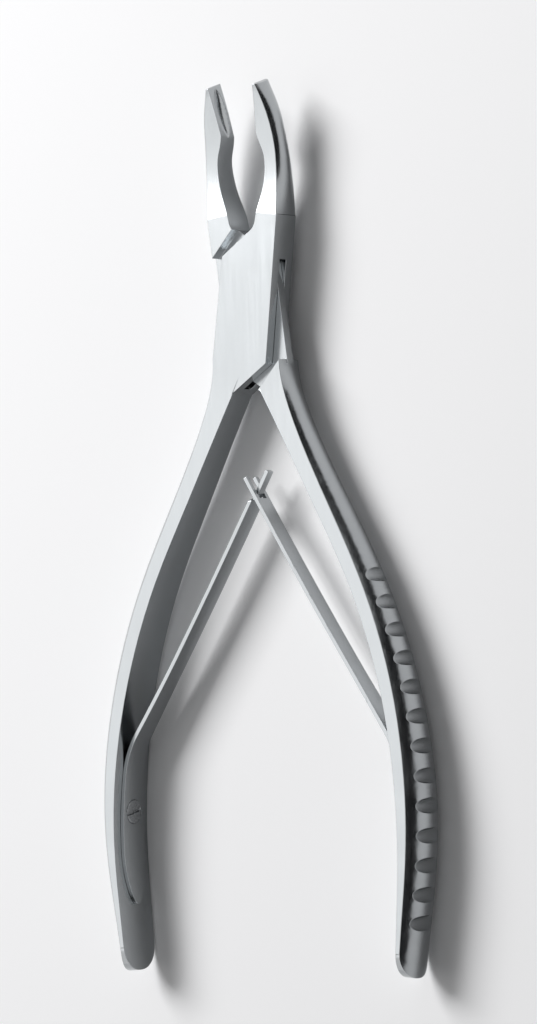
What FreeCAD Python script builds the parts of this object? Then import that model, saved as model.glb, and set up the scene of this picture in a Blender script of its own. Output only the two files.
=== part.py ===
"""Rongeur-type bone clamp of stainless steel, lying on its back with the jaws open.

Two forged halves cross in a box joint: the male half's thin neck runs through a slot in the
female half and turns on a flush rivet. Each half is one forging: a bowed, crowned handle with
grooves across its back, the joint, and a jaw that curves forward to a scooped, sharp rim.
A leaf spring is screwed to the inside of each handle. The leaves lean together and cross, the
tongue of one between the prongs of the other, and they push the clamp open.

Millimetres. The jaws point to +Y and curve forward to +Z, and the pivot axis is Z through the
origin, which lies on the box joint's back face. Each half is drawn closed, on the +X side
where it has its jaw or handle to itself, and is then turned apart to its open rest.
"""
import FreeCAD
import Part
from FreeCAD import Vector
import math
import os
from collections import namedtuple

# A cross-section of a jaw or a handle: a flat inner face, flat sides and a crowned back.
# place is the distance along the bar, and crown_deg the slope at which the crown leaves the sides.
Section = namedtuple("Section", "place width side crown_deg")

# Opening
OPENING_DEG = 13.8             # between the halves at rest, 0 when the rims meet

# Box joint
BOX_THICKNESS = 5.6
BOX_WIDTH = 10.1
CHEEK = 1.9                    # wall on each side of the slot
BOX_FLARE = 0.4                # the box's side leans out this much more at the handle's root
NECK_WIDTH = 11.4              # wider than the box, so that it stands out at both sides
NECK_LEAD = 1.3                # how far the neck's full width runs on past the shoulders
NECK_CLEARANCE = 0.04          # between the neck and each wall
SHOULDER_SLOPE_DEG = 41.0      # of the shoulders, seen along the pivot
UPPER_SHOULDER = 7.6           # height of the shoulder at the box's side, towards the jaws
LOWER_SHOULDER = 9.0           # the same towards the handles
SHOULDER_GAP = 0.75            # between the two halves' shoulders, closed
SLOT_END_CLEARANCE = 0.15      # between the neck's cut-back edges and the ends of the slot
PIN_RADIUS = 1.6
PIN_CLEARANCE = 0.03           # in the neck only: the rivet is tight in the walls

# Handle, measured along its inner face from the crotch
CROTCH_HALF_GAP = 1.08         # from the middle plane to the inner face, closed
HANDLE_SLOPE_DEG = 21.2        # of the straight stretch, from the middle plane
STRAIGHT_LENGTH = 28.0
BOW_RADIUS = 99.0
TAIL_SLOPE_DEG = 11.4          # the grip's end leans inwards by this much
HANDLE_LENGTH = 98.7
ROOT_OVERLAP = 3.2             # how far the handle's bar reaches into the box
HANDLE_SECTIONS = (
    Section(place=-ROOT_OVERLAP, width=BOX_THICKNESS, side=5.88, crown_deg=2.0),
    Section(place=2.0, width=BOX_THICKNESS, side=4.05, crown_deg=34.0),
    Section(place=9.0, width=5.85, side=2.95, crown_deg=44.0),
    Section(place=28.0, width=6.8, side=2.4, crown_deg=48.0),
    Section(place=50.0, width=8.0, side=2.25, crown_deg=48.0),
    Section(place=71.0, width=9.2, side=1.85, crown_deg=46.0),
    Section(place=87.0, width=8.9, side=1.1, crown_deg=44.0),
    Section(place=HANDLE_LENGTH, width=8.2, side=0.5, crown_deg=38.0),
)
END_CORNER = 3.9               # radius of the handle end's corners
LOFT_STEP = 8.0                # distance between the sections that are lofted

# Grooves across the back of the grip
GROOVES = 13
GROOVE_WIDTH = 2.5             # at the crest
GROOVE_DEPTH = 0.85            # at the crest
GROOVE_PITCH = 4.55            # along the handle
FIRST_GROOVE = 35.4            # along the handle

# Jaw
JAW_LENGTH = 36.3              # from the pivot to the tip, along the jaw
JAW_BEND_RADIUS = 70.0         # of the forward curve
RIM_GAP = 0.04                 # from each rim to the middle plane, closed
CROTCH_FILLET = 2.6            # where the shoulder runs into the jaw's inner face
JAW_CROTCH_HALF_GAP = 0.9      # from the middle plane to the jaw's inner face at the box
JAW_SECTIONS = (
    Section(place=15.0, width=BOX_THICKNESS, side=4.9, crown_deg=4.0),
    Section(place=19.0, width=4.9, side=4.55, crown_deg=24.0),
    Section(place=23.0, width=4.2, side=4.1, crown_deg=40.0),
    Section(place=27.0, width=3.7, side=3.45, crown_deg=46.0),
    Section(place=32.0, width=3.8, side=2.2, crown_deg=46.0),
    Section(place=JAW_LENGTH, width=3.8, side=0.5, crown_deg=30.0),
)
RELIEF_DEPTH = 1.95            # of the hollow between the jaws, from the middle plane
RELIEF_DEEPEST = 21.0          # height of the hollow's deepest point
RELIEF_END = 28.0              # height at which the rim begins
CUP_LENGTH = 8.2
CUP_DEPTH = 1.25
CUP_SIDE_RIM = 0.35            # wall left on each side of the cup
CUP_TIP_RIM = 0.45

# Leaf springs, measured along the inner face of the spring
SPRING_THICKNESS = 0.68
SPRING_TAIL = 88.6             # place on the handle where the leaf's tail ends
SPRING_LIFT = 66.5             # place on the handle where the leaf leaves it
SPRING_WIDTH = 5.6             # at the screw
SEAT_CLEARANCE = 0.02          # between the leaf and the handle
LEAF_WIDTH = 3.5               # of the free part
TAIL_TAPER = 9.0               # length over which the tail narrows to its point
TAIL_BLUNTNESS = 0.45          # 0 for a sharp point, 1 for a square end
LEAF_TAPER = 12.0              # length over which the free part narrows above the bend
SPRING_BEND_RADIUS = 15.0
SPRING_BEND_DEG = 28.0
LEAF_BOW_RADIUS = 900.0        # the free part is bowed away from its handle
TONGUE_REACH = 4.2             # of each tip past the crossing
PRONG_REACH = 3.1
TONGUE_WIDTH = 1.5
FORK_SLOT = 1.9
SHOULDER_RUN = 0.4             # length over which the tongue's shoulders slope in
CROSSING_CLEARANCE = 0.25      # between the tongue and the bottom of the fork

# Spring screws
SCREW_PLACE = 72.7             # on the handle
SCREW_HEAD_RADIUS = 1.95
SCREW_HEAD_HEIGHT = 0.35       # of the head's flat rim, which stands on the leaf's level
SCREW_CONE_HEIGHT = 0.95
SCREW_SHANK_RADIUS = 0.9
SCREW_DEPTH = 2.3              # of the shank's end below the handle's inner face
SCREW_PROUD = 0.15             # of the head's face above the leaf
SCREW_SLOT_WIDTH = 0.5
SCREW_SLOT_DEPTH = 0.4
SCREW_SLOT_TURN_DEG = 12.0
SCREW_CLEARANCE = 0.02

UP = Vector(0, 0, 1)
HALF_BOX = BOX_THICKNESS / 2
NECK_HALF = HALF_BOX - CHEEK - NECK_CLEARANCE
SLOT_HALF = HALF_BOX - CHEEK
SHOULDER_SLOPE = math.tan(math.radians(SHOULDER_SLOPE_DEG))
UPPER_CROTCH = UPPER_SHOULDER + (BOX_WIDTH / 2 + JAW_CROTCH_HALF_GAP) * SHOULDER_SLOPE
LOWER_CROTCH = -LOWER_SHOULDER - (BOX_WIDTH / 2 + CROTCH_HALF_GAP) * SHOULDER_SLOPE
JAW_START = JAW_SECTIONS[0].place
CROTCH_REACH = CROTCH_FILLET * math.tan(math.radians(90 - SHOULDER_SLOPE_DEG) / 2)
FAR = 200.0                    # longer than the whole clamp, for the reach of cutting tools
FINENESS = 1e-6                # two lengths that differ by less are the same


def turned(shape, angle_deg):
    """A copy of the shape, turned about the pivot axis."""
    copy = shape.copy()
    copy.rotate(Vector(0, 0, 0), UP, angle_deg)
    return copy


def mirrored(shape):
    """The shape's mirror image about the middle plane X = 0."""
    return shape.mirror(Vector(0, 0, 0), Vector(1, 0, 0))


def prism(edges, low, high):
    """A solid that stands between two heights on a closed outline in the XY plane."""
    face = Part.Face(Part.Wire(Part.sortEdges(edges)[0]))
    face.translate(UP * low)
    return face.extrude(UP * (high - low))


def polygon(points):
    """The straight edges of a closed outline through points in the XY plane."""
    corners = [Vector(x, y, 0) for x, y in points]
    return [Part.makeLine(a, b) for a, b in zip(corners, corners[1:] + corners[:1])]


def at_place(sections, place, size):
    """One size of a bar at a place along it, on a smooth curve through its sections."""
    places = [section.place for section in sections]
    sizes = [getattr(section, size) for section in sections]
    last = len(places) - 1
    slopes = []
    for i in range(last + 1):
        low, high = max(i - 1, 0), min(i + 1, last)
        slopes.append((sizes[high] - sizes[low]) / (places[high] - places[low]))
    i = max([0] + [n for n in range(last) if places[n] <= place])
    span = places[i + 1] - places[i]
    t = (place - places[i]) / span
    start = sizes[i] * (1 + 2 * t) * (1 - t) ** 2 + slopes[i] * span * t * (1 - t) ** 2
    end = sizes[i + 1] * (3 - 2 * t) * t ** 2 - slopes[i + 1] * span * (1 - t) * t ** 2
    return start + end


def crowned_wire(width, side, crown_deg, origin, outward, across):
    """A section's outline, from the middle of its inner face outwards."""
    half = width / 2
    crest = side + half * math.tan(math.radians(crown_deg) / 2)
    inner_a, inner_b = origin + across * half, origin - across * half
    side_a, side_b = inner_a + outward * side, inner_b + outward * side
    return Part.Wire([
        Part.makeLine(inner_b, inner_a),
        Part.makeLine(inner_a, side_a),
        Part.Arc(side_a, origin + outward * crest, side_b).toShape(),
        Part.makeLine(side_b, inner_b),
    ])


def crowned_bar(sections, frame_at):
    """A bar lofted through its sections; frame_at gives (origin, outward, across) at a place."""
    first, last = sections[0].place, sections[-1].place
    steps = round((last - first) / LOFT_STEP) if last - first > 4 * LOFT_STEP else 8
    wires = []
    for n in range(steps + 1):
        place = first + (last - first) * n / steps
        width, side, crown_deg = (at_place(sections, place, size) for size in Section._fields[1:])
        wires.append(crowned_wire(width, side, crown_deg, *frame_at(place)))
    return Part.makeLoft(wires, True, False)


def handle_frame(place):
    """The inner face's middle, and the way outwards and across, of the right handle, closed."""
    slope, tail = math.radians(HANDLE_SLOPE_DEG), math.radians(-TAIL_SLOPE_DEG)
    straight = min(place, STRAIGHT_LENGTH)
    bow_length = BOW_RADIUS * (slope - tail)
    bowed = min(max(place - STRAIGHT_LENGTH, 0.0), bow_length)
    after = max(place - STRAIGHT_LENGTH - bow_length, 0.0)
    angle = slope - bowed / BOW_RADIUS
    x = CROTCH_HALF_GAP + straight * math.sin(slope) + after * math.sin(tail)
    x += BOW_RADIUS * (math.cos(angle) - math.cos(slope))
    y = LOWER_CROTCH - straight * math.cos(slope) - after * math.cos(tail)
    y -= BOW_RADIUS * (math.sin(slope) - math.sin(angle))
    return Vector(x, y, 0), Vector(math.cos(angle), math.sin(angle), 0), UP


def jaw_frame(place):
    """The same for the right jaw, which bends forward from the box."""
    bend = (place - JAW_START) / JAW_BEND_RADIUS
    y = JAW_START + JAW_BEND_RADIUS * math.sin(bend)
    z = JAW_BEND_RADIUS * (1 - math.cos(bend))
    return Vector(RIM_GAP, y, z), Vector(1, 0, 0), Vector(0, -math.sin(bend), math.cos(bend))


def grooves():
    """The cutters of the grip's grooves: round bars that lie across the crest."""
    radius = (GROOVE_WIDTH ** 2 / 4 + GROOVE_DEPTH ** 2) / (2 * GROOVE_DEPTH)
    cutters = []
    for n in range(GROOVES):
        place = FIRST_GROOVE + n * GROOVE_PITCH
        origin, outward, across = handle_frame(place)
        width, side, crown_deg = (at_place(HANDLE_SECTIONS, place, size) for size in Section._fields[1:])
        crest = side + width / 2 * math.tan(math.radians(crown_deg) / 2)
        centre = origin + outward * (crest - GROOVE_DEPTH + radius)
        cutters.append(Part.makeCylinder(radius, 2 * width, centre - across * width, across))
    return cutters


def end_waste():
    """What is trimmed from the handle's end to round its two corners."""
    end, outward, across = handle_frame(HANDLE_LENGTH)
    up = outward.cross(across)
    if up.y < 0:
        up = -up
    half = at_place(HANDLE_SECTIONS, HANDLE_LENGTH - END_CORNER, "width") / 2

    def at(along, side):
        return end + up * along + across * side - outward * FAR / 2

    inset = END_CORNER * (1 - math.sqrt(0.5))
    left = Part.Arc(at(END_CORNER, -half), at(inset, inset - half), at(0, END_CORNER - half))
    right = Part.Arc(at(0, half - END_CORNER), at(inset, half - inset), at(END_CORNER, half))
    outline = Part.Wire([
        left.toShape(),
        Part.makeLine(at(0, END_CORNER - half), at(0, half - END_CORNER)),
        right.toShape(),
        Part.makeLine(at(END_CORNER, half), at(END_CORNER, 2 * half)),
        Part.makeLine(at(END_CORNER, 2 * half), at(-END_CORNER, 2 * half)),
        Part.makeLine(at(-END_CORNER, 2 * half), at(-END_CORNER, -2 * half)),
        Part.makeLine(at(-END_CORNER, -2 * half), at(END_CORNER, -2 * half)),
        Part.makeLine(at(END_CORNER, -2 * half), at(END_CORNER, -half)),
    ])
    return Part.Face(outline).extrude(outward * FAR)


def handle():
    """The right handle, closed, with its rounded end and its grooves."""
    bar = crowned_bar(HANDLE_SECTIONS, handle_frame)
    return bar.cut([end_waste()] + grooves())


def jaw_relief():
    """The hollow behind the right jaw's rim, cut straight through from front to back."""
    start = Vector(JAW_CROTCH_HALF_GAP, UPPER_CROTCH + CROTCH_REACH, 0)
    deepest = Vector(RELIEF_DEPTH, RELIEF_DEEPEST, 0)
    rim = Vector(0, RELIEF_END, 0)
    lower = Part.BezierCurve()
    lower.setPoles([start, start + Vector(0.1, 2.2, 0), deepest - Vector(0, 3.0, 0), deepest])
    upper = Part.BezierCurve()
    upper.setPoles([deepest, deepest + Vector(0, 4.4, 0), rim + Vector(0.75, -2.8, 0), rim])
    back = Vector(-1, RELIEF_END, 0)
    foot = Vector(-1, start.y, 0)
    edges = [lower.toShape(), upper.toShape()]
    edges += [Part.makeLine(a, b) for a, b in ((rim, back), (back, foot), (foot, start))]
    return prism(edges, -FAR / 2, FAR / 2)


def jaw_cup():
    """The scoop in the right jaw's tip: an arc along the jaw, turned about an axis in the gap."""
    place = JAW_LENGTH - CUP_TIP_RIM - CUP_LENGTH / 2
    origin, outward, across = jaw_frame(place)
    along = across.cross(outward)
    half_width = at_place(JAW_SECTIONS, place, "width") / 2 - CUP_SIDE_RIM
    girth = (half_width ** 2 / CUP_DEPTH + CUP_DEPTH) / 2
    axis = origin - outward * (girth - CUP_DEPTH)
    end = along * (CUP_LENGTH / 2)
    sides = (origin - end, origin + outward * CUP_DEPTH, origin + end)
    profile = [Part.Arc(*sides).toShape(), Part.makeLine(axis - end, sides[0])]
    profile += [Part.makeLine(axis + end, sides[2]), Part.makeLine(axis - end, axis + end)]
    face = Part.Face(Part.Wire(Part.sortEdges(profile)[0]))
    return face.revolve(axis, along, 360)


def box():
    """The block of the half that has the left handle and the right jaw, closed.

    Its sides are straight, and its two ends slope along the shoulders to the crotches.
    """
    half = BOX_WIDTH / 2
    run = math.radians(SHOULDER_SLOPE_DEG)
    corner = Vector(JAW_CROTCH_HALF_GAP, UPPER_CROTCH, 0)
    from_shoulder = corner - Vector(math.cos(run), math.sin(run), 0) * CROTCH_REACH
    to_jaw = corner + Vector(0, CROTCH_REACH, 0)
    centre = to_jaw - Vector(CROTCH_FILLET, 0, 0)
    middle = math.radians(-90 + SHOULDER_SLOPE_DEG) / 2
    bulge = centre + Vector(math.cos(middle), math.sin(middle), 0) * CROTCH_FILLET
    root, outward, _ = handle_frame(-ROOT_OVERLAP)
    root_outward = Vector(-outward.x, outward.y, 0)
    root = Vector(-root.x, root.y, 0)
    root_side = root + root_outward * ((half + BOX_FLARE + root.x) / -root_outward.x)
    points = [
        to_jaw,
        Vector(JAW_CROTCH_HALF_GAP, JAW_START, 0),
        Vector(half, JAW_START, 0),
        Vector(half, -LOWER_SHOULDER, 0),
        Vector(-CROTCH_HALF_GAP, LOWER_CROTCH, 0),
        root,
        root_side,
        Vector(-half, UPPER_SHOULDER, 0),
        from_shoulder,
    ]
    edges = [Part.makeLine(a, b) for a, b in zip(points, points[1:])]
    edges.append(Part.Arc(from_shoulder, bulge, to_jaw).toShape())
    return prism(edges, -HALF_BOX, HALF_BOX)


def strip(slope, upper, lower, low, high):
    """A slab between two sloping lines that meet the box's side, right across the clamp.

    upper is where the upper line meets X = BOX_WIDTH / 2 * -sign(slope), and lower where the
    lower one meets the other side; low and high are its heights.
    """
    side = BOX_WIDTH / 2
    sign = math.copysign(1, slope)
    top = upper + (side * sign) * slope
    bottom = lower - (side * sign) * slope
    points = [(-FAR, top - FAR * slope), (FAR, top + FAR * slope),
              (FAR, bottom + FAR * slope), (-FAR, bottom - FAR * slope)]
    return prism(polygon(points), low, high)


def forged_half():
    """The half with the left handle and the right jaw, closed, before the joint is cut."""
    front = box().fuse(crowned_bar(JAW_SECTIONS, jaw_frame)).cut(jaw_relief()).cut(jaw_cup())
    return front.fuse(mirrored(handle())).removeSplitter()


def female_half():
    """The half whose box has the slot."""
    rise = SLOT_END_CLEARANCE / math.cos(math.radians(SHOULDER_SLOPE_DEG))
    slot = strip(-SHOULDER_SLOPE, UPPER_SHOULDER + rise, -LOWER_SHOULDER - rise, -SLOT_HALF, SLOT_HALF)
    pin_hole = Part.makeCylinder(PIN_RADIUS, FAR, UP * (-FAR / 2))
    return forged_half().cut(slot).cut(pin_hole)


def neck():
    """The thin plate that runs through the slot, closed, from the left jaw to the right handle."""
    side, slope = NECK_WIDTH / 2, SHOULDER_SLOPE
    inset = (side - BOX_WIDTH / 2) * slope
    outline = polygon([
        (side, UPPER_SHOULDER - inset),
        (-JAW_CROTCH_HALF_GAP, UPPER_CROTCH),
        (-BOX_WIDTH / 3, UPPER_CROTCH),
        (-side, UPPER_SHOULDER + NECK_LEAD),
        (-side, -LOWER_SHOULDER + inset),
        (CROTCH_HALF_GAP, LOWER_CROTCH),
        (BOX_WIDTH / 3, LOWER_CROTCH),
        (side, -LOWER_SHOULDER - NECK_LEAD),
    ])
    return prism(outline, -NECK_HALF, NECK_HALF)


def male_half():
    """The half whose neck fills the slot, closed."""
    rise = SHOULDER_GAP / math.cos(math.radians(SHOULDER_SLOPE_DEG))
    joint = strip(SHOULDER_SLOPE, UPPER_SHOULDER + rise, -LOWER_SHOULDER - rise, -FAR, FAR)
    ends = mirrored(forged_half()).cut(joint).Solids
    pin_hole = Part.makeCylinder(PIN_RADIUS + PIN_CLEARANCE, FAR, UP * (-FAR / 2))
    return neck().fuse(ends).removeSplitter().cut(pin_hole)


def heading(angle):
    """The way outwards, at right angles to a leaf whose run leans by an angle from +Y to -X."""
    return Vector(math.cos(angle), math.sin(angle), 0)


def arc_on(start, angle, radius, length):
    """Walk an arc, or a line of infinite radius, from a start. Gives (end, angle there).

    A positive radius leans further in.
    """
    if radius == math.inf:
        return start + Vector(-math.sin(angle), math.cos(angle), 0) * length, angle
    centre = start - heading(angle) * radius
    end_angle = angle + length / radius
    return centre + heading(end_angle) * radius, end_angle


def leaf_stretches():
    """The right leaf at rest, as (start, angle, radius, length) of each stretch of its outer face.

    The face lies on the handle from its tail to the lift, bends inwards, and runs on nearly
    straight across the middle plane.
    """
    bow_end = STRAIGHT_LENGTH + BOW_RADIUS * math.radians(HANDLE_SLOPE_DEG + TAIL_SLOPE_DEG)
    turns = [place for place in (bow_end, STRAIGHT_LENGTH) if SPRING_LIFT < place < SPRING_TAIL]
    places = [SPRING_TAIL] + turns + [SPRING_LIFT]
    stretches = []
    for low, high in zip(places, places[1:]):
        start, outward = leaf_seat(low)
        on_bow = STRAIGHT_LENGTH < (low + high) / 2 < bow_end
        radius = BOW_RADIUS - SEAT_CLEARANCE if on_bow else math.inf
        stretches.append((start, math.atan2(outward.y, outward.x), radius, low - high))
    bend_start, bend_angle = arc_on(*stretches[-1])
    bend_length = SPRING_BEND_RADIUS * math.radians(SPRING_BEND_DEG)
    stretches.append((bend_start, bend_angle, SPRING_BEND_RADIUS, bend_length))
    free_start, free_angle = arc_on(*stretches[-1])
    low, high = 0.0, FAR
    while high - low > FINENESS:
        length = (low + high) / 2
        point, angle = arc_on(free_start, free_angle, -LEAF_BOW_RADIUS, length)
        if (point - heading(angle) * SPRING_THICKNESS / 2).x > 0:
            low = length
        else:
            high = length
    return stretches + [(free_start, free_angle, -LEAF_BOW_RADIUS, low)]


def leaf_seat(place):
    """The place on the right handle's inner face where the leaf lies, and the way outwards."""
    origin, outward, _ = handle_frame(place)
    to_rest = FreeCAD.Rotation(UP, OPENING_DEG / 2)
    return to_rest.multVec(origin - outward * SEAT_CLEARANCE), to_rest.multVec(outward)


def stretch_edge(points, radius):
    """The edge of one stretch through its start, middle and end."""
    if radius == math.inf:
        return Part.makeLine(points[0], points[-1])
    return Part.Arc(*points).toShape()


def leaf_side(reach):
    """The right leaf seen from the front, made as wide as the widest part of any leaf."""
    stretches = leaf_stretches()
    start, angle, radius, length = stretches.pop()
    stretches.append((start, angle, radius, length + reach))
    outer, inner = [], []
    for start, angle, radius, length in stretches:
        walk = [(start, angle)] + [arc_on(start, angle, radius, length * part) for part in (0.5, 1)]
        outer.append(stretch_edge([point for point, _ in walk], radius))
        inner.append(stretch_edge([point - heading(a) * SPRING_THICKNESS for point, a in walk], radius))
    first, last = outer[0].Vertexes[0].Point, outer[-1].Vertexes[-1].Point
    first_in, last_in = inner[0].Vertexes[0].Point, inner[-1].Vertexes[-1].Point
    caps = [Part.makeLine(first, first_in), Part.makeLine(last, last_in)]
    return prism(outer + inner + caps, -SPRING_WIDTH, SPRING_WIDTH)


def leaf_plan(crossing_y, tip_width, tip_y):
    """The leaf's outline seen from the side, along X, from its pointed tail to its tip."""
    stretches = leaf_stretches()
    tail_y = stretches[0][0].y + SPRING_THICKNESS
    lift_y, free_y = stretches[-2][0].y, stretches[-1][0].y
    full_y = tail_y + TAIL_TAPER
    slim_y = free_y + LEAF_TAPER
    wide, slim = SPRING_WIDTH / 2, LEAF_WIDTH / 2
    tail = Part.BezierCurve()
    tail.setPoles([Vector(0, tail_y, 0), Vector(0, tail_y, wide * TAIL_BLUNTNESS),
                   Vector(0, (tail_y + full_y) / 2, wide), Vector(0, full_y, wide)])
    waist = Part.BezierCurve()
    waist.setPoles([Vector(0, full_y, wide), Vector(0, lift_y, wide), Vector(0, free_y, slim),
                    Vector(0, slim_y, slim)])
    spread = crossing_spread()
    neck_y = crossing_y - spread
    side = [tail.toShape(), waist.toShape()]
    points = [Vector(0, slim_y, slim), Vector(0, neck_y - SHOULDER_RUN, slim)]
    points += [Vector(0, neck_y, tip_width / 2), Vector(0, tip_y, tip_width / 2)]
    side += [Part.makeLine(a, b) for a, b in zip(points, points[1:]) if (a - b).Length > FINENESS]
    other = [part.mirror(Vector(0, 0, 0), UP) for part in side]
    cap = Part.makeLine(points[-1], Vector(0, tip_y, -tip_width / 2))
    return Part.Face(Part.Wire(Part.sortEdges(side + other + [cap])[0])).extrude(Vector(FAR, 0, 0))


def crossing_spread():
    """How far below the crossing the two leaves begin to share space, with a clearance."""
    _, angle = arc_on(*leaf_stretches()[-1])
    return SPRING_THICKNESS / 2 / math.sin(angle) + CROSSING_CLEARANCE


def leaf(reach, tip_width, slot_width):
    """A right leaf at rest, whose tip passes the crossing and may have a slot."""
    free = leaf_stretches()[-1]
    crossing, _ = arc_on(*free)
    tip, angle = arc_on(*free[:3], free[3] + reach)
    plan = leaf_plan(crossing.y, tip_width, tip.y + SPRING_THICKNESS)
    plan.translate(Vector(-FAR / 2, 0, 0))
    blade = leaf_side(reach).common(plan)
    if slot_width:
        slot = Part.makeBox(FAR, FAR, slot_width, Vector(-FAR / 2, crossing.y - crossing_spread(), -slot_width / 2))
        blade = blade.cut(slot)
    return blade.cut(screw_blank(SCREW_CLEARANCE))


def screw_blank(clearance):
    """The right screw at rest without its slot, grown all round by a clearance."""
    seat, outward = leaf_seat(SCREW_PLACE)
    face = seat - outward * (SPRING_THICKNESS + SCREW_PROUD + clearance)
    rim = SCREW_HEAD_HEIGHT + clearance
    head = Part.makeCylinder(SCREW_HEAD_RADIUS + clearance, rim, face, outward)
    cone = Part.makeCone(SCREW_HEAD_RADIUS + clearance, SCREW_SHANK_RADIUS + clearance,
                         SCREW_CONE_HEIGHT, face + outward * rim, outward)
    length = SPRING_THICKNESS + SCREW_PROUD + SCREW_DEPTH + 2 * clearance
    shank = Part.makeCylinder(SCREW_SHANK_RADIUS + clearance, length, face, outward)
    return head.fuse([cone, shank]).removeSplitter()


def screw():
    """The right screw at rest, with its slot."""
    seat, outward = leaf_seat(SCREW_PLACE)
    face = seat - outward * (SPRING_THICKNESS + SCREW_PROUD)
    slot = Part.makeBox(4 * SCREW_HEAD_RADIUS, 2 * SCREW_SLOT_DEPTH, SCREW_SLOT_WIDTH)
    slot.translate(Vector(-2 * SCREW_HEAD_RADIUS, -SCREW_SLOT_DEPTH, -SCREW_SLOT_WIDTH / 2))
    slot.rotate(Vector(0, 0, 0), Vector(0, 1, 0), 90 + SCREW_SLOT_TURN_DEG)
    slot.rotate(Vector(0, 0, 0), UP, math.degrees(math.atan2(outward.y, outward.x)) - 90)
    slot.translate(face)
    return screw_blank(0.0).cut(slot)


def build():
    """All the pieces by name, at rest, with the box joint's back face at Z = 0."""
    female = turned(female_half(), -OPENING_DEG / 2).cut(mirrored(screw_blank(SCREW_CLEARANCE)))
    male = turned(male_half(), OPENING_DEG / 2).cut(screw_blank(SCREW_CLEARANCE))
    pieces = {
        "female_half": female,
        "male_half": male,
        "pivot_pin": Part.makeCylinder(PIN_RADIUS, BOX_THICKNESS, UP * -HALF_BOX),
        "tongue_spring": mirrored(leaf(TONGUE_REACH, TONGUE_WIDTH, 0)),
        "fork_spring": leaf(PRONG_REACH, LEAF_WIDTH, FORK_SLOT),
        "tongue_spring_screw": mirrored(screw()),
        "fork_spring_screw": screw(),
    }
    for shape in pieces.values():
        shape.translate(UP * HALF_BOX)
    return pieces


if __name__ == "__main__":
    os.makedirs("parts", exist_ok=True)
    for name, shape in build().items():
        solid = shape.Solids[0] if len(shape.Solids) == 1 else shape
        solid.exportStep(os.path.join("parts", name + ".step"))
        print(name, shape.isValid(), round(shape.Volume, 1), len(shape.Solids))
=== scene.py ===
import math

import bmesh
import bpy
from mathutils import Matrix, Vector


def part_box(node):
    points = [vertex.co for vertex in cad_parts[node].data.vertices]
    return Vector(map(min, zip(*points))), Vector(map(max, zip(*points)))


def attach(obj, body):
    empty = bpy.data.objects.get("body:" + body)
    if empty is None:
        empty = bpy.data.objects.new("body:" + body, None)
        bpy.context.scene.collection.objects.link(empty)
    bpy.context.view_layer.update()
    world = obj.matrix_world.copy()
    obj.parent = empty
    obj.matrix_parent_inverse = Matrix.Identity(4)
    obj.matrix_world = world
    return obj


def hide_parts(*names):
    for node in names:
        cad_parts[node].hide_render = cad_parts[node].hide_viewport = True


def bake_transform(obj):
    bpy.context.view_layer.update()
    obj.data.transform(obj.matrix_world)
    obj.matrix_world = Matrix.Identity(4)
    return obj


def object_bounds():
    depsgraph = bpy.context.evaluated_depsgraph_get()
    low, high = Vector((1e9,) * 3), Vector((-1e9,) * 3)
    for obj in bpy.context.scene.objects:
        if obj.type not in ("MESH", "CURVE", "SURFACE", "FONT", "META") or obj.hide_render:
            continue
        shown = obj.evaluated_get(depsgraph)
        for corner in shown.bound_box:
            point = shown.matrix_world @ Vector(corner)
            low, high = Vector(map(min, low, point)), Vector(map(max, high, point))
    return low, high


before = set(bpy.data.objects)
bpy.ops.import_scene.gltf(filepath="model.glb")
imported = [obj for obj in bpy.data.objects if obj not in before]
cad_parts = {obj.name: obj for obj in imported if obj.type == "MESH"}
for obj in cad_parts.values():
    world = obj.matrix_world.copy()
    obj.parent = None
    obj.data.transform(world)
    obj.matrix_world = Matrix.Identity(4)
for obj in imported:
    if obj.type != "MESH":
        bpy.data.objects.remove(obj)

bl_info = {
    "name": "Bone Clamp Finish",
    "version": (1, 0, 0),
    "blender": (4, 5, 0),
    "location": "3D View > Sidebar > Clamp",
    "description": "Polished forgings, flexing leaf springs, slotted screws and a studio for a bone clamp",
    "category": "Object",
}

MM = 0.001
CAD_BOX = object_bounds()

# Lengths here are in millimetres, in which the copies of the CAD nodes are worked on.
MERGE = 0.0005                  # corners nearer than this are one
PIVOT_CLEAR = 2.0               # edges this near the pivot axis stay sharp, round the flush rivet
FORGED_EDGE_DEG = 25            # polishing rounds the edges of a forging that turn by more
CUT_EDGE_DEG = 40               # edges of the leaves and screws that turn by more are rounded

# The clamp's middle and the room, in metres
MIDDLE = Vector((-0.8, -35.8, 2.8)) * MM
ROOM_LIGHT = 0.22               # strength with which the room lights what is in it
ROOM_LOOK = 1.0                 # strength with which it is seen, also mirrored in the steel
CARD_HEIGHT, CARD_LENGTH = 0.44, 1.6
CARD_DISTANCE = 0.6             # of the card from the pivot, on the clamp's right
LENS_SHIFT = (0.0122, 0.0156)   # of the picture's frame, in widths of the sensor


def linear(hex_colour):
    """The linear colour that an sRGB hex colour such as "#C0C4C8" stands for."""
    values = [int(hex_colour[i:i + 2], 16) / 255 for i in (1, 3, 5)]
    return tuple(v / 12.92 if v <= 0.04045 else ((v + 0.055) / 1.055) ** 2.4 for v in values)


def add_node(tree, kind, inputs=None, **settings):
    """Adds a node to a tree, with its settings, and its inputs as values or as links."""
    node = tree.nodes.new(kind)
    for name, value in settings.items():
        setattr(node, name, value)
    for socket, value in (inputs or {}).items():
        if isinstance(value, bpy.types.NodeSocket):
            tree.links.new(value, node.inputs[socket])
        else:
            node.inputs[socket].default_value = value
    return node


def new_material(name):
    """An empty node material, as (material, tree)."""
    material = bpy.data.materials.new(name)
    material.use_nodes = True
    material.node_tree.nodes.clear()
    return material, material.node_tree


# Finishes


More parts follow.
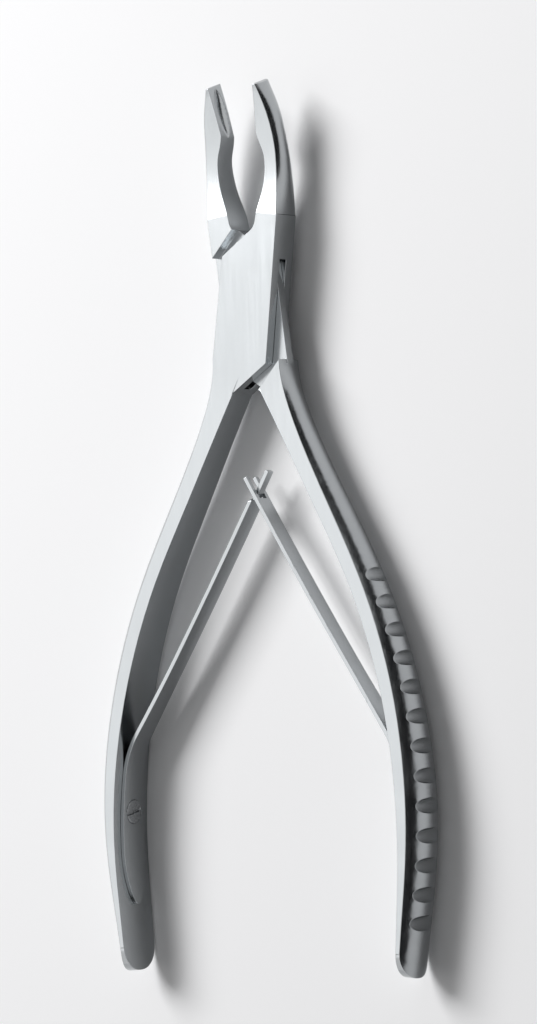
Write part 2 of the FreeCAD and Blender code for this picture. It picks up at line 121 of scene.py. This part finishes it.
def steel_surface(tree, colour, roughness, relief):
    """Ends a steel's nodes: bare metal of a colour, with its roughness and its fine relief."""
    steel = add_node(tree, "ShaderNodeBsdfPrincipled", {
        "Base Color": colour, "Metallic": 1.0, "Roughness": roughness, "Normal": relief,
    })
    add_node(tree, "ShaderNodeOutputMaterial", {"Surface": steel.outputs["BSDF"]})


def satin_steel(settings):
    """Martensitic stainless steel, belt-ground along its length and then satin-polished.

    The eye gets a cool grey mirror, softened by fine lines that run the length of the clamp, with
    a slight cloudiness where the mop has pressed more or less. The real lines are closer than
    0.1 mm and are drawn wider apart, so that they show.
    """
    material, tree = new_material("Satin_polished_stainless_steel_forging")
    place = add_node(tree, "ShaderNodeTexCoord")
    lines = add_node(tree, "ShaderNodeMapping", {
        "Vector": place.outputs["Object"],
        "Scale": (1 / settings.line_spacing, 1 / settings.line_length, 1 / settings.line_spacing),
    })
    polish = add_node(tree, "ShaderNodeTexNoise", {
        "Vector": lines.outputs["Vector"], "Scale": 1.0, "Detail": 3.0, "Roughness": 0.6,
    })
    clouds = add_node(tree, "ShaderNodeTexNoise", {
        "Vector": place.outputs["Object"], "Scale": 1 / settings.cloud_size, "Detail": 2.0,
    })
    both = add_node(tree, "ShaderNodeMath", {0: polish.outputs["Fac"], 1: clouds.outputs["Fac"]})
    gloss = add_node(tree, "ShaderNodeMapRange", {
        "Value": both.outputs["Value"], "From Min": 0.6, "From Max": 1.4,
        "To Min": settings.roughness - 0.05, "To Max": settings.roughness + 0.07,
    })
    tone = add_node(tree, "ShaderNodeMix", {
        "Factor": clouds.outputs["Fac"], "A": (*settings.colour, 1), "B": (*settings.dull_colour, 1),
    }, data_type="RGBA")
    relief = add_node(tree, "ShaderNodeBump", {
        "Height": polish.outputs["Fac"], "Strength": 0.25, "Distance": settings.line_depth,
    })
    steel_surface(tree, tone.outputs["Result"], gloss.outputs["Result"], relief.outputs["Normal"])
    return material


def spring_steel(settings):
    """Cold-rolled stainless spring strip, stamped and bright-polished.

    It reads darker and smoother than the forgings, with faint rolling lines along each leaf, also
    drawn wider apart than real ones.
    """
    material, tree = new_material("Bright_rolled_stainless_spring_strip")
    place = add_node(tree, "ShaderNodeTexCoord")
    lines = add_node(tree, "ShaderNodeMapping", {
        "Vector": place.outputs["Object"],
        "Scale": (1 / settings.line_length, 1 / settings.line_length, 1 / settings.line_spacing),
    })
    rolling = add_node(tree, "ShaderNodeTexNoise", {
        "Vector": lines.outputs["Vector"], "Scale": 1.0, "Detail": 3.0,
    })
    gloss = add_node(tree, "ShaderNodeMapRange", {
        "Value": rolling.outputs["Fac"], "From Min": 0.3, "From Max": 0.7,
        "To Min": settings.roughness - 0.04, "To Max": settings.roughness + 0.06,
    })
    relief = add_node(tree, "ShaderNodeBump", {
        "Height": rolling.outputs["Fac"], "Strength": 0.2, "Distance": settings.line_depth,
    })
    steel_surface(tree, (*settings.colour, 1), gloss.outputs["Result"], relief.outputs["Normal"])
    return material


def turned_steel(settings):
    """Free-cutting stainless steel, turned on a lathe and left as cut.

    Its faint tool marks, drawn coarser than real ones, make the small heads a little duller and
    darker than what they hold.
    """
    material, tree = new_material("Turned_stainless_steel_screw")
    place = add_node(tree, "ShaderNodeTexCoord")
    marks = add_node(tree, "ShaderNodeTexNoise", {
        "Vector": place.outputs["Object"], "Scale": 1 / settings.mark_size, "Detail": 2.0,
    })
    gloss = add_node(tree, "ShaderNodeMapRange", {
        "Value": marks.outputs["Fac"], "From Min": 0.3, "From Max": 0.7,
        "To Min": settings.roughness - 0.05, "To Max": settings.roughness + 0.08,
    })
    relief = add_node(tree, "ShaderNodeBump", {
        "Height": marks.outputs["Fac"], "Strength": 0.2, "Distance": settings.mark_depth,
    })
    steel_surface(tree, (*settings.colour, 1), gloss.outputs["Result"], relief.outputs["Normal"])
    return material


# Pieces


def copy_of_node(node):
    """A CAD node's shape in millimetres, as one joined skin, its doubled corners merged.

    Each corner keeps the direction of the true surface there, for the shading.
    """
    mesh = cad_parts[node].data
    true_normals = [normal.vector.copy() for normal in mesh.corner_normals]
    shape = bmesh.new()
    shape.from_mesh(mesh)
    true = shape.loops.layers.float_vector.new("true_normal")
    shape.faces.layers.int.new("rounded")
    corners = [corner for face in shape.faces for corner in face.loops]
    for corner, normal in zip(corners, true_normals):
        corner[true] = normal
    bmesh.ops.scale(shape, verts=shape.verts, vec=(1 / MM, 1 / MM, 1 / MM))
    bmesh.ops.remove_doubles(shape, verts=shape.verts, dist=MERGE)
    bmesh.ops.dissolve_degenerate(shape, edges=shape.edges, dist=MERGE)
    bmesh.ops.recalc_face_normals(shape, faces=shape.faces)
    return shape


def soften(shape, width, least_angle_deg, clear_of_pivot=0.0):
    """Rounds the edges that turn by more than an angle, apart from those near the pivot axis."""
    least = math.radians(least_angle_deg)
    edges = [e for e in shape.edges if len(e.link_faces) == 2 and e.calc_face_angle() > least
             and max(v.co.xy.length for v in e.verts) > clear_of_pivot]
    made = bmesh.ops.bevel(shape, geom=edges, offset=width, offset_type="OFFSET",
                           affect="EDGES", segments=2, profile=0.5, material=-1,
                           clamp_overlap=False)
    rounded = shape.faces.layers.int["rounded"]
    for face in made["faces"]:
        face[rounded] = 1


def shading_normals(shape):
    """The normal of each corner: the true surface's, and on a rounded edge what leads over it."""
    true = shape.loops.layers.float_vector["true_normal"]
    rounded = shape.faces.layers.int["rounded"]
    shape.normal_update()
    normals = []
    for face in shape.faces:
        for corner in face.loops:
            if face[rounded]:
                beside = [c[true] for c in corner.vert.link_loops if not c.face[rounded]]
            else:
                beside = [corner[true]]
            total = sum((n for n in beside if n.length > 0.5), Vector())
            normals.append(total.normalized() if total.length > 0.1 else corner.vert.normal.copy())
    return normals


def link_piece(mesh, name, material):
    """Makes an object of a mesh, with its material."""
    mesh.materials.append(material)
    piece = bpy.data.objects.new(name, mesh)
    bpy.context.scene.collection.objects.link(piece)
    return piece


def metal_piece(shape, name, material):
    """Makes a piece from a copied CAD shape in millimetres, shaded as the true surface is."""
    for face in shape.faces:
        face.smooth = True
    normals = shading_normals(shape)
    shape.loops.layers.float_vector.remove(shape.loops.layers.float_vector["true_normal"])
    shape.faces.layers.int.remove(shape.faces.layers.int["rounded"])
    bmesh.ops.scale(shape, verts=shape.verts, vec=(MM, MM, MM))
    mesh = bpy.data.meshes.new(name)
    shape.to_mesh(mesh)
    shape.free()
    imported_normals = mesh.attributes.get("custom_normal")
    if imported_normals:
        mesh.attributes.remove(imported_normals)
    mesh.normals_split_custom_set(normals)
    return link_piece(mesh, name, material)


def flat_piece(shape, name, material):
    """Makes a flat stage piece from a bmesh in millimetres."""
    bmesh.ops.scale(shape, verts=shape.verts, vec=(MM, MM, MM))
    mesh = bpy.data.meshes.new(name)
    shape.to_mesh(mesh)
    shape.free()
    return link_piece(mesh, name, material)


class ForgingSettings(bpy.types.PropertyGroup):
    colour: bpy.props.FloatVectorProperty(
        name="Colour", description="Of the polished forgings", subtype="COLOR", size=3,
        min=0, max=1, default=linear("#B0B3B5"))
    dull_colour: bpy.props.FloatVectorProperty(
        name="Dull colour", description="Where the polish is cloudier", subtype="COLOR", size=3,
        min=0, max=1, default=linear("#A3A6A8"))
    roughness: bpy.props.FloatProperty(
        name="Roughness", description="Of the satin polish", min=0, max=1, default=0.2)
    edge_softness: bpy.props.FloatProperty(
        name="Edge softness", description="How far the polishing rounds the edges", unit="LENGTH",
        default=0.07 * MM)
    line_spacing: bpy.props.FloatProperty(
        name="Line spacing", description="Across the polishing lines", unit="LENGTH",
        default=0.3 * MM)
    line_length: bpy.props.FloatProperty(
        name="Line length", description="Of one polishing line", unit="LENGTH", default=12 * MM)
    line_depth: bpy.props.FloatProperty(
        name="Line depth", description="Of the polishing lines", unit="LENGTH", default=0.004 * MM)
    cloud_size: bpy.props.FloatProperty(
        name="Cloud size", description="Of the uneven polish", unit="LENGTH", default=7 * MM)


class SpringSettings(bpy.types.PropertyGroup):
    colour: bpy.props.FloatVectorProperty(
        name="Colour", description="Of the spring strip", subtype="COLOR", size=3,
        min=0, max=1, default=linear("#A6A9AB"))
    roughness: bpy.props.FloatProperty(
        name="Roughness", description="Of the rolled strip", min=0, max=1, default=0.17)
    line_spacing: bpy.props.FloatProperty(
        name="Line spacing", description="Across the rolling lines", unit="LENGTH",
        default=0.25 * MM)
    line_length: bpy.props.FloatProperty(
        name="Line length", description="Of one rolling line", unit="LENGTH", default=15 * MM)
    line_depth: bpy.props.FloatProperty(
        name="Line depth", description="Of the rolling lines", unit="LENGTH", default=0.003 * MM)
    edge_softness: bpy.props.FloatProperty(
        name="Edge softness", description="How far tumbling rounds the edges", unit="LENGTH",
        default=0.06 * MM)
    slice_length: bpy.props.FloatProperty(
        name="Slice length", description="Between the cuts that let a leaf bend", unit="LENGTH",
        default=2.5 * MM)
    lift_y: bpy.props.FloatProperty(
        name="Lift", description="Where the leaves leave the handles, along Y", unit="LENGTH",
        default=-76 * MM)
    crossing_y: bpy.props.FloatProperty(
        name="Crossing", description="Where the leaves cross, along Y", unit="LENGTH",
        default=-30.3 * MM)


class ScrewSettings(bpy.types.PropertyGroup):
    colour: bpy.props.FloatVectorProperty(
        name="Colour", description="Of the turned screws", subtype="COLOR", size=3,
        min=0, max=1, default=linear("#9A9C9E"))
    roughness: bpy.props.FloatProperty(
        name="Roughness", description="Of the turned surface", min=0, max=1, default=0.28)
    edge_softness: bpy.props.FloatProperty(
        name="Edge softness", description="How far the head's edges are broken", unit="LENGTH",
        default=0.1 * MM)
    mark_size: bpy.props.FloatProperty(
        name="Mark size", description="Of the tool marks", unit="LENGTH", default=0.3 * MM)
    mark_depth: bpy.props.FloatProperty(
        name="Mark depth", description="Of the tool marks", unit="LENGTH", default=0.004 * MM)


class StudioSettings(bpy.types.PropertyGroup):
    floor_colour: bpy.props.FloatVectorProperty(
        name="Floor colour", description="Of the paper that the clamp lies on", subtype="COLOR",
        size=3, min=0, max=1, default=linear("#F6F6F7"))
    floor_size: bpy.props.FloatProperty(
        name="Floor size", description="Of the paper's side", unit="LENGTH", default=6.0)
    turn_deg: bpy.props.FloatProperty(
        name="Turn", description="Of the camera to the clamp's right, in degrees", default=35.0)
    roll_deg: bpy.props.FloatProperty(
        name="Roll", description="Of the clamp in the picture, in degrees", default=1.95)
    distance: bpy.props.FloatProperty(
        name="Distance", description="From the camera to the clamp's middle", unit="LENGTH",
        default=0.7259)
    focal_length: bpy.props.FloatProperty(
        name="Focal length", description="In millimetres, on a 36 mm sensor", default=158.2)


class CLAMP_OT_forgings(bpy.types.Operator):
    """Gives the two forged halves and the rivet their polish"""
    bl_idname = "clamp.forgings"
    bl_label = "Forged halves"

    def execute(self, context):
        settings = context.scene.clamp_forging
        steel = satin_steel(settings)
        for name, body in (("female_half", "female_body"), ("male_half", "male_body")):
            half = copy_of_node(name)
            soften(half, settings.edge_softness / MM, FORGED_EDGE_DEG, clear_of_pivot=PIVOT_CLEAR)
            piece = metal_piece(half, name.replace("_half", "_forging"), steel)
            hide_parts(name)
            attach(piece, body)
        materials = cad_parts["pivot_pin"].data.materials
        materials.clear()
        materials.append(steel)
        return {"FINISHED"}


class CLAMP_OT_springs(bpy.types.Operator):
    """Makes the two leaf springs, each cut across at even steps along its length"""
    bl_idname = "clamp.springs"
    bl_label = "Leaf springs"

    def execute(self, context):
        settings = context.scene.clamp_spring
        steel = spring_steel(settings)
        for name, held, other in (("tongue_spring", "female_body", "male_body"),
                                  ("fork_spring", "male_body", "female_body")):
            leaf = copy_of_node(name)
            low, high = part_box(name)
            y = low.y + settings.slice_length
            while y < high.y:
                bmesh.ops.bisect_plane(leaf, geom=leaf.verts[:] + leaf.edges[:] + leaf.faces[:],
                                       dist=MERGE, plane_co=(0, y / MM, 0), plane_no=(0, 1, 0))
                y += settings.slice_length
            soften(leaf, settings.edge_softness / MM, CUT_EDGE_DEG)
            piece = metal_piece(leaf, name.replace("_spring", "_leaf"), steel)
            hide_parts(name)
            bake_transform(piece)
        return {"FINISHED"}


class CLAMP_OT_screws(bpy.types.Operator):
    """Gives the two spring screws their turned finish"""
    bl_idname = "clamp.screws"
    bl_label = "Spring screws"

    def execute(self, context):
        settings = context.scene.clamp_screw
        steel = turned_steel(settings)
        for name, body in (("tongue_spring_screw", "female_body"),
                           ("fork_spring_screw", "male_body")):
            screw = copy_of_node(name)
            soften(screw, settings.edge_softness / MM, CUT_EDGE_DEG)
            piece = metal_piece(screw, name.replace("_spring_screw", "_screw"), steel)
            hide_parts(name)
            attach(piece, body)
        return {"FINISHED"}


class CLAMP_OT_studio(bpy.types.Operator):
    """Sets up the paper floor, the soft lamps, the pale room and the camera"""
    bl_idname = "clamp.studio"
    bl_label = "Studio"

    def execute(self, context):
        settings = context.scene.clamp_studio
        self.floor(context, settings)
        self.room(context)
        self.card(context)
        # The panel stands where the flat front faces mirror it into the picture.
        self.lamp(context, "Front_panel", way=Vector((-0.574, 0, 0.819)),
                  distance=1.2, size=0.8, power=1.4)
        # The key comes from the upper left, so that the clamp shades what its inner faces mirror.
        self.lamp(context, "Key", way=Vector((-0.5, 0.5, 0.62)),
                  distance=1.1, size=0.55, power=13.0)
        self.camera(context, settings)
        context.scene.view_settings.view_transform = "Standard"
        return {"FINISHED"}

    def floor(self, context, settings):
        """A sheet of matt white paper, right under the clamp's lowest point."""
        material, tree = new_material("Matt_white_paper")
        place = add_node(tree, "ShaderNodeTexCoord")
        fibres = add_node(tree, "ShaderNodeTexNoise", {
            "Vector": place.outputs["Object"], "Scale": 1 / (0.8 * MM), "Detail": 2.0,
        })
        relief = add_node(tree, "ShaderNodeBump", {
            "Height": fibres.outputs["Fac"], "Strength": 0.05, "Distance": 0.02 * MM,
        })
        paper = add_node(tree, "ShaderNodeBsdfDiffuse", {
            "Color": (*settings.floor_colour, 1), "Normal": relief.outputs["Normal"],
        })
        add_node(tree, "ShaderNodeOutputMaterial", {"Surface": paper.outputs["BSDF"]})
        sheet = bmesh.new()
        bmesh.ops.create_grid(sheet, x_segments=1, y_segments=1, size=settings.floor_size / 2 / MM)
        bmesh.ops.translate(sheet, verts=sheet.verts, vec=(0, 0, CAD_BOX[0].z / MM))
        flat_piece(sheet, "Paper_floor", material)

    def room(self, context):
        """A room that looks white behind the clamp, and lights it less than it looks."""
        world = bpy.data.worlds.new("Pale_room")
        context.scene.world = world
        world.use_nodes = True
        tree = world.node_tree
        tree.nodes.clear()
        path = add_node(tree, "ShaderNodeLightPath")
        seen = add_node(tree, "ShaderNodeMath", {
            0: path.outputs["Is Camera Ray"], 1: path.outputs["Is Glossy Ray"],
        }, operation="MAXIMUM")
        shown = add_node(tree, "ShaderNodeMath", {
            0: seen.outputs["Value"], 1: path.outputs["Is Transmission Ray"],
        }, operation="MAXIMUM")
        strength = add_node(tree, "ShaderNodeMapRange", {
            "Value": shown.outputs["Value"], "To Min": ROOM_LIGHT, "To Max": ROOM_LOOK,
        })
        light = add_node(tree, "ShaderNodeBackground", {
            "Color": (1, 1, 1, 1), "Strength": strength.outputs["Result"],
        })
        add_node(tree, "ShaderNodeOutputWorld", {"Surface": light.outputs["Background"]})

    def card(self, context):
        """A black card beyond the clamp's right side, for the steel's dark edges."""
        material, tree = new_material("Black_card")
        black = add_node(tree, "ShaderNodeBsdfDiffuse", {"Color": (*linear("#1C1C1E"), 1)})
        add_node(tree, "ShaderNodeOutputMaterial", {"Surface": black.outputs["BSDF"]})
        card = bmesh.new()
        bmesh.ops.create_grid(card, x_segments=1, y_segments=1, size=0.5 / MM)
        bmesh.ops.scale(card, verts=card.verts, vec=(CARD_HEIGHT, CARD_LENGTH, 1))
        bmesh.ops.rotate(card, verts=card.verts, cent=(0, 0, 0),
                         matrix=Matrix.Rotation(-math.pi / 2, 3, "Y"))
        bmesh.ops.translate(card, verts=card.verts,
                            vec=(CARD_DISTANCE / MM, 0, CARD_HEIGHT / 2 / MM))
        piece = flat_piece(card, "Black_card", material)
        piece.visible_camera = False

    def lamp(self, context, name, way, distance, size, power):
        """A square soft lamp that faces the clamp's middle. Its power is in watts."""
        light = bpy.data.lights.new(name, "AREA")
        light.size = size
        light.energy = power
        lamp = bpy.data.objects.new(name, light)
        context.scene.collection.objects.link(lamp)
        lamp.location = MIDDLE + way.normalized() * distance
        lamp.rotation_euler = way.to_track_quat("Z", "Y").to_euler()

    def camera(self, context, settings):
        """The camera, turned to the clamp's right and rolled a little."""
        turn, roll = math.radians(settings.turn_deg), math.radians(settings.roll_deg)
        back = Vector((math.sin(turn) * math.cos(roll), -math.sin(turn) * math.sin(roll),
                       math.cos(turn)))
        up = Vector((math.sin(roll), math.cos(roll), 0))
        right = up.cross(back)
        data = bpy.data.cameras.new("Camera")
        data.sensor_fit = "AUTO"
        data.sensor_width = 36.0
        data.lens = settings.focal_length
        data.shift_x, data.shift_y = LENS_SHIFT
        data.clip_start = 0.01
        camera = bpy.data.objects.new("Camera", data)
        context.scene.collection.objects.link(camera)
        camera.rotation_mode = "QUATERNION"
        camera.rotation_quaternion = Matrix((right, up, back)).transposed().to_quaternion()
        camera.location = MIDDLE + back * settings.distance
        context.scene.camera = camera


class CLAMP_PT_panel(bpy.types.Panel):
    """Lists the steps that finish the clamp"""
    bl_idname = "CLAMP_PT_panel"
    bl_label = "Bone Clamp"
    bl_space_type = "VIEW_3D"
    bl_region_type = "UI"
    bl_category = "Clamp"

    def draw(self, context):
        for operator, settings in (("clamp.forgings", "clamp_forging"),
                                   ("clamp.springs", "clamp_spring"),
                                   ("clamp.screws", "clamp_screw"),
                                   ("clamp.studio", "clamp_studio")):
            box = self.layout.box()
            group = getattr(context.scene, settings)
            for name in group.__annotations__:
                box.prop(group, name)
            box.operator(operator)


CLASSES = (ForgingSettings, SpringSettings, ScrewSettings, StudioSettings, CLAMP_OT_forgings,
           CLAMP_OT_springs, CLAMP_OT_screws, CLAMP_OT_studio, CLAMP_PT_panel)
GROUPS = {"clamp_forging": ForgingSettings, "clamp_spring": SpringSettings,
          "clamp_screw": ScrewSettings, "clamp_studio": StudioSettings}


def register():
    for item in CLASSES:
        bpy.utils.register_class(item)
    for name, group in GROUPS.items():
        setattr(bpy.types.Scene, name, bpy.props.PointerProperty(type=group))


def unregister():
    for name in GROUPS:
        delattr(bpy.types.Scene, name)
    for item in reversed(CLASSES):
        bpy.utils.unregister_class(item)


def main():
    """Registers the add-on and runs its operators in order."""
    register()
    for operator in ("forgings", "springs", "screws", "studio"):
        getattr(bpy.ops.clamp, operator)()


if __name__ == "__main__":
    main()
